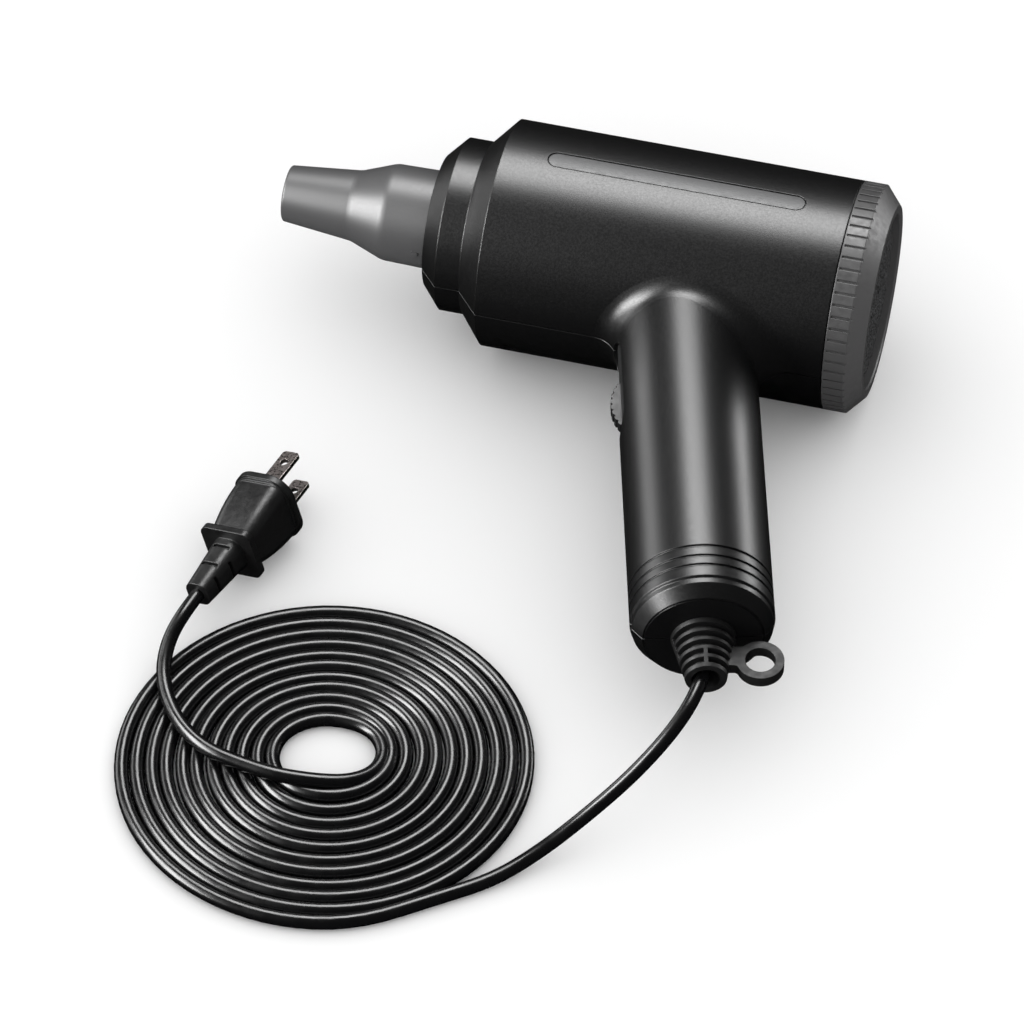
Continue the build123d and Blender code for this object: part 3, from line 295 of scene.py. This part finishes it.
# ---- Speed dial and its panel -----------------------------------------------------------------
# A toothed disc that the forefinger turns, standing out of a smooth inlay in the handle's front.
dial_black, tree, shader = node_material("dial_black", (0.012, 0.012, 0.0125), 0.42, 0.5)
add_grain(
    tree, shader, size=0.0004, height=0.000015, rounded=0.0003, speckle=(0.38, 0.5), wear=0.002
)
dress(dial_black, "speed_dial")
panel_grey, tree, shader = node_material("panel_charcoal", (0.03, 0.03, 0.031), 0.45, 0.5)
add_grain(
    tree, shader, size=0.0005, height=0.00001, rounded=0.0003, speckle=(0.4, 0.52), wear=0.002
)
dress(panel_grey, "dial_panel")

# ---- Strain relief and hanging loop -----------------------------------------------------------
# One soft black moulding: a tapered boot with ring slots, and a flat loop on its rear side.
boot_black, tree, shader = node_material("soft_black", (0.008, 0.008, 0.0082), 0.5, 0.35)
add_grain(
    tree, shader, size=0.0006, height=0.00002, rounded=0.0004, speckle=(0.46, 0.58), wear=0.002
)
dress(boot_black, "strain_relief")

# ---- Nozzle -----------------------------------------------------------------------------------
# A charcoal moulding with a coarser satin grain, pushed into the nose and locked by a turn.
nozzle_grey, tree, shader = node_material("grained_charcoal", (0.088, 0.088, 0.09), 0.44, 0.7)
add_grain(
    tree, shader, size=0.0004, height=0.000008, rounded=0.0004, speckle=(0.41, 0.47), wear=0.0006
)
dress(nozzle_grey, "nozzle")

# ---- Intake ring ------------------------------------------------------------------------------
# A charcoal ring with grip ribs all round and a bevelled rim, on a bayonet at the barrel's rear.
ring_grey, tree, shader = node_material("ring_charcoal", (0.066, 0.065, 0.066), 0.42, 0.6)
add_grain(
    tree, shader, size=0.0005, height=0.00002, rounded=0.0005, speckle=(0.38, 0.5), wear=0.002
)
dress(ring_grey, "intake_cover")

# ---- Intake foam ------------------------------------------------------------------------------
# A disc of open-cell foam held behind the ring. Its pitted face swells a little into the mouth.
foam_low, foam_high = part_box("intake_filter")
foam_middle = (foam_low + foam_high) / 2
foam_play = 0.0002
foam_r = (foam_high.y - foam_low.y) / 2 - foam_play
foam_half = (foam_high.x - foam_low.x) / 2
foam_corner = 0.0008
foam_rings = 52
mouth_r = 0.0295           # the foam swells into the ring's mouth up to here
swell = 0.0022
swell_edge = 0.0020        # how far in the swell takes to rise
face_back = 0.0004         # of the middle of the face, before it swells
face_round = 0.0006        # and how much further back its edge lies
pit_deep = 0.00035
pit_highest = 0.0003
foam_mesh = bmesh.new()
outline = [
    (-foam_half, 0.0),
    (-foam_half, foam_r - foam_corner),
    (-foam_half + foam_corner, foam_r),
    (foam_half - 2 * foam_corner, foam_r),
]
for step in range(foam_rings + 1):
    out = (foam_r - foam_corner) * (1 - step / foam_rings)
    rise = min(1.0, max(0.0, mouth_r - out) / swell_edge) ** 0.5
    rounding = face_round * (out / foam_r) ** 2
    outline.append((foam_half - face_back + swell * rise - rounding, out))
outline = [foam_mesh.verts.new((x, out, 0.0)) for x, out in outline]
edges = [foam_mesh.edges.new(pair) for pair in zip(outline, outline[1:])]
bmesh.ops.spin(
    foam_mesh, geom=outline + edges, cent=(0, 0, 0), axis=(1, 0, 0), angle=2 * pi, steps=240,
    use_merge=True,
)
bmesh.ops.remove_doubles(foam_mesh, verts=foam_mesh.verts, dist=1e-6)
for vert in foam_mesh.verts:
    if vert.co.x > foam_half - face_back - face_round - pit_deep:
        cell = noise.noise(vert.co * 900.0) + 0.6 * noise.noise(vert.co * 1900.0)
        vert.co.x += min(pit_highest, pit_deep * cell)
bmesh.ops.recalc_face_normals(foam_mesh, faces=foam_mesh.faces)
bmesh.ops.translate(foam_mesh, verts=foam_mesh.verts, vec=foam_middle)
foam_data = bpy.data.meshes.new("foam_pad")
foam_mesh.to_mesh(foam_data)
foam_mesh.free()
foam_data.shade_smooth()
foam_pad = bpy.data.objects.new("foam_pad", foam_data)
bpy.context.scene.collection.objects.link(foam_pad)
foam_dark, tree, shader = node_material("open_foam", (0.012, 0.012, 0.0125), 0.85, 0.3)
place = tree.nodes.new("ShaderNodeTexCoord")
cells = tree.nodes.new("ShaderNodeTexVoronoi")
cells.inputs["Scale"].default_value = 1400.0
tree.links.new(place.outputs["Object"], cells.inputs["Vector"])
# Painted shade: the foam's colour runs from grey to near black as its pit bump deepens.
painted_pit_shade = tree.nodes.new("ShaderNodeValToRGB")
painted_pit_shade.color_ramp.elements[0].position = 0.25
painted_pit_shade.color_ramp.elements[0].color = (0.05, 0.05, 0.052, 1.0)
painted_pit_shade.color_ramp.elements[1].position = 0.75
painted_pit_shade.color_ramp.elements[1].color = (0.006, 0.006, 0.0065, 1.0)
tree.links.new(cells.outputs["Distance"], painted_pit_shade.inputs["Fac"])
tree.links.new(painted_pit_shade.outputs["Color"], shader.inputs["Base Color"])
pits = tree.nodes.new("ShaderNodeBump")
pits.invert = True
pits.inputs["Distance"].default_value = 0.0005
tree.links.new(cells.outputs["Distance"], pits.inputs["Height"])
tree.links.new(pits.outputs["Normal"], shader.inputs["Normal"])
foam_data.materials.append(foam_dark)
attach(foam_pad, "filter")
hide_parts("intake_filter")

# ---- Plug -------------------------------------------------------------------------------------
# A two-blade mains plug: a satin black moulding with a rounded front flange, a thin finger
# flange and a slotted strain relief, and two flat nickel-plated blades with a hole near each tip.
plug_black, tree, shader = node_material("plug_black", (0.007, 0.007, 0.0072), 0.4, 0.4)
add_grain(
    tree, shader, size=0.0007, height=0.00005, rounded=0.0005, speckle=(0.36, 0.46), wear=0.002
)
dress(plug_black, "plug_body")
nickel, tree, shader = node_material("nickel_plate", (0.45, 0.40, 0.385), 0.3)
shader.inputs["Metallic"].default_value = 1.0
add_grain(
    tree, shader, size=0.0005, height=0.000001, rounded=0.0002, speckle=(0.24, 0.36), wear=0.0008
)
dress(nickel, "plug_blade_upper", "plug_blade_lower")

# ---- Mouldings and rubber inside --------------------------------------------------------------
# The plain pieces that close the inside: grille, fan, shroud and diffuser in dark nylon, and
# the rubber rings and seal.
inner_plastic, tree, shader = node_material("dark_nylon", (0.05, 0.05, 0.052), 0.5)
add_grain(
    tree, shader, size=0.0008, height=0.00002, rounded=0.0002, speckle=(0.44, 0.58), wear=0.003
)
dress(
    inner_plastic, "intake_grille", "fan_wheel", "fan_shroud", "diffuser", "dial_spindle",
    "speed_pot", "cord_clamp", "triac",
)
mount_rubber, tree, shader = node_material("matt_rubber", (0.014, 0.014, 0.014), 0.7, 0.4)
add_grain(tree, shader, size=0.001, height=0.00003, speckle=(0.62, 0.8), wear=0.004)
dress(mount_rubber, "motor_mount_front", "motor_mount_rear", "nozzle_seal")

# ---- Motor metals -----------------------------------------------------------------------------
# Stacked steel laminations, enamelled copper windings, die-cast end brackets and ground steel.
laminations, tree, shader = node_material("laminations", (0.22, 0.22, 0.23), 0.4)
shader.inputs["Metallic"].default_value = 1.0
place = add_grain(tree, shader, size=0.0006, height=0.00001, speckle=(0.34, 0.5), wear=0.002)
sheets = tree.nodes.new("ShaderNodeTexWave")
sheets.bands_direction = "X"
sheets.inputs["Scale"].default_value = 320.0
tree.links.new(place.outputs["Object"], sheets.inputs["Vector"])
shades = tree.nodes.new("ShaderNodeValToRGB")
shades.color_ramp.elements[0].color = (0.12, 0.12, 0.13, 1.0)
shades.color_ramp.elements[1].color = (0.34, 0.34, 0.35, 1.0)
tree.links.new(sheets.outputs["Fac"], shades.inputs["Fac"])
tree.links.new(shades.outputs["Color"], shader.inputs["Base Color"])
dress(laminations, "stator_core", "armature_core")
for metal_name, colour, rough, members in (
    ("copper_wire", (0.62, 0.25, 0.11), 0.35, (
        "field_coil_upper", "field_coil_lower", "armature_winding", "commutator")),
    ("cast_alloy", (0.55, 0.56, 0.57), 0.45, (
        "motor_bracket_front", "motor_bracket_rear", "heat_sink")),
    ("ground_steel", (0.5, 0.5, 0.52), 0.25, (
        "rotor_shaft", "bearing_front", "bearing_rear", "brush_spring_upper",
        "brush_spring_lower")),
    ("zinc_plate", (0.58, 0.59, 0.56), 0.3, ("clamp_screws", "shell_screws", "fan_nut")),
    ("brass_strip", (0.7, 0.5, 0.2), 0.3, ("brush_holder_upper", "brush_holder_lower")),
):
    metal, tree, shader = node_material(metal_name, colour, rough)
    shader.inputs["Metallic"].default_value = 1.0
    add_grain(
        tree, shader, size=0.0006, height=0.00001,
        rounded=0.0002, speckle=(rough - 0.08, rough + 0.12), wear=0.002,
    )
    dress(metal, *members)

# ---- Carbon, board and wiring -----------------------------------------------------------------
# The carbon brushes, the speed control's board and parts, and the insulated wires.
for stuff_name, colour, rough, members in (
    ("pressed_carbon", (0.02, 0.02, 0.021), 0.5, ("carbon_brush_upper", "carbon_brush_lower")),
    ("green_laminate", (0.01, 0.1, 0.04), 0.35, ("control_board",)),
    ("moulded_yellow", (0.55, 0.33, 0.03), 0.4, ("capacitor",)),
    ("wound_ferrite", (0.04, 0.04, 0.045), 0.6, ("noise_choke",)),
    ("natural_nylon", (0.62, 0.61, 0.56), 0.45, ("terminal_block",)),
    ("red_insulation", (0.35, 0.015, 0.01), 0.3, ("motor_leads",)),
    ("black_insulation", (0.008, 0.008, 0.008), 0.3, ("supply_leads",)),
):
    stuff, tree, shader = node_material(stuff_name, colour, rough)
    add_grain(
        tree, shader, size=0.0008, height=0.00002, speckle=(rough - 0.06, rough + 0.1), wear=0.002
    )
    dress(stuff, *members)
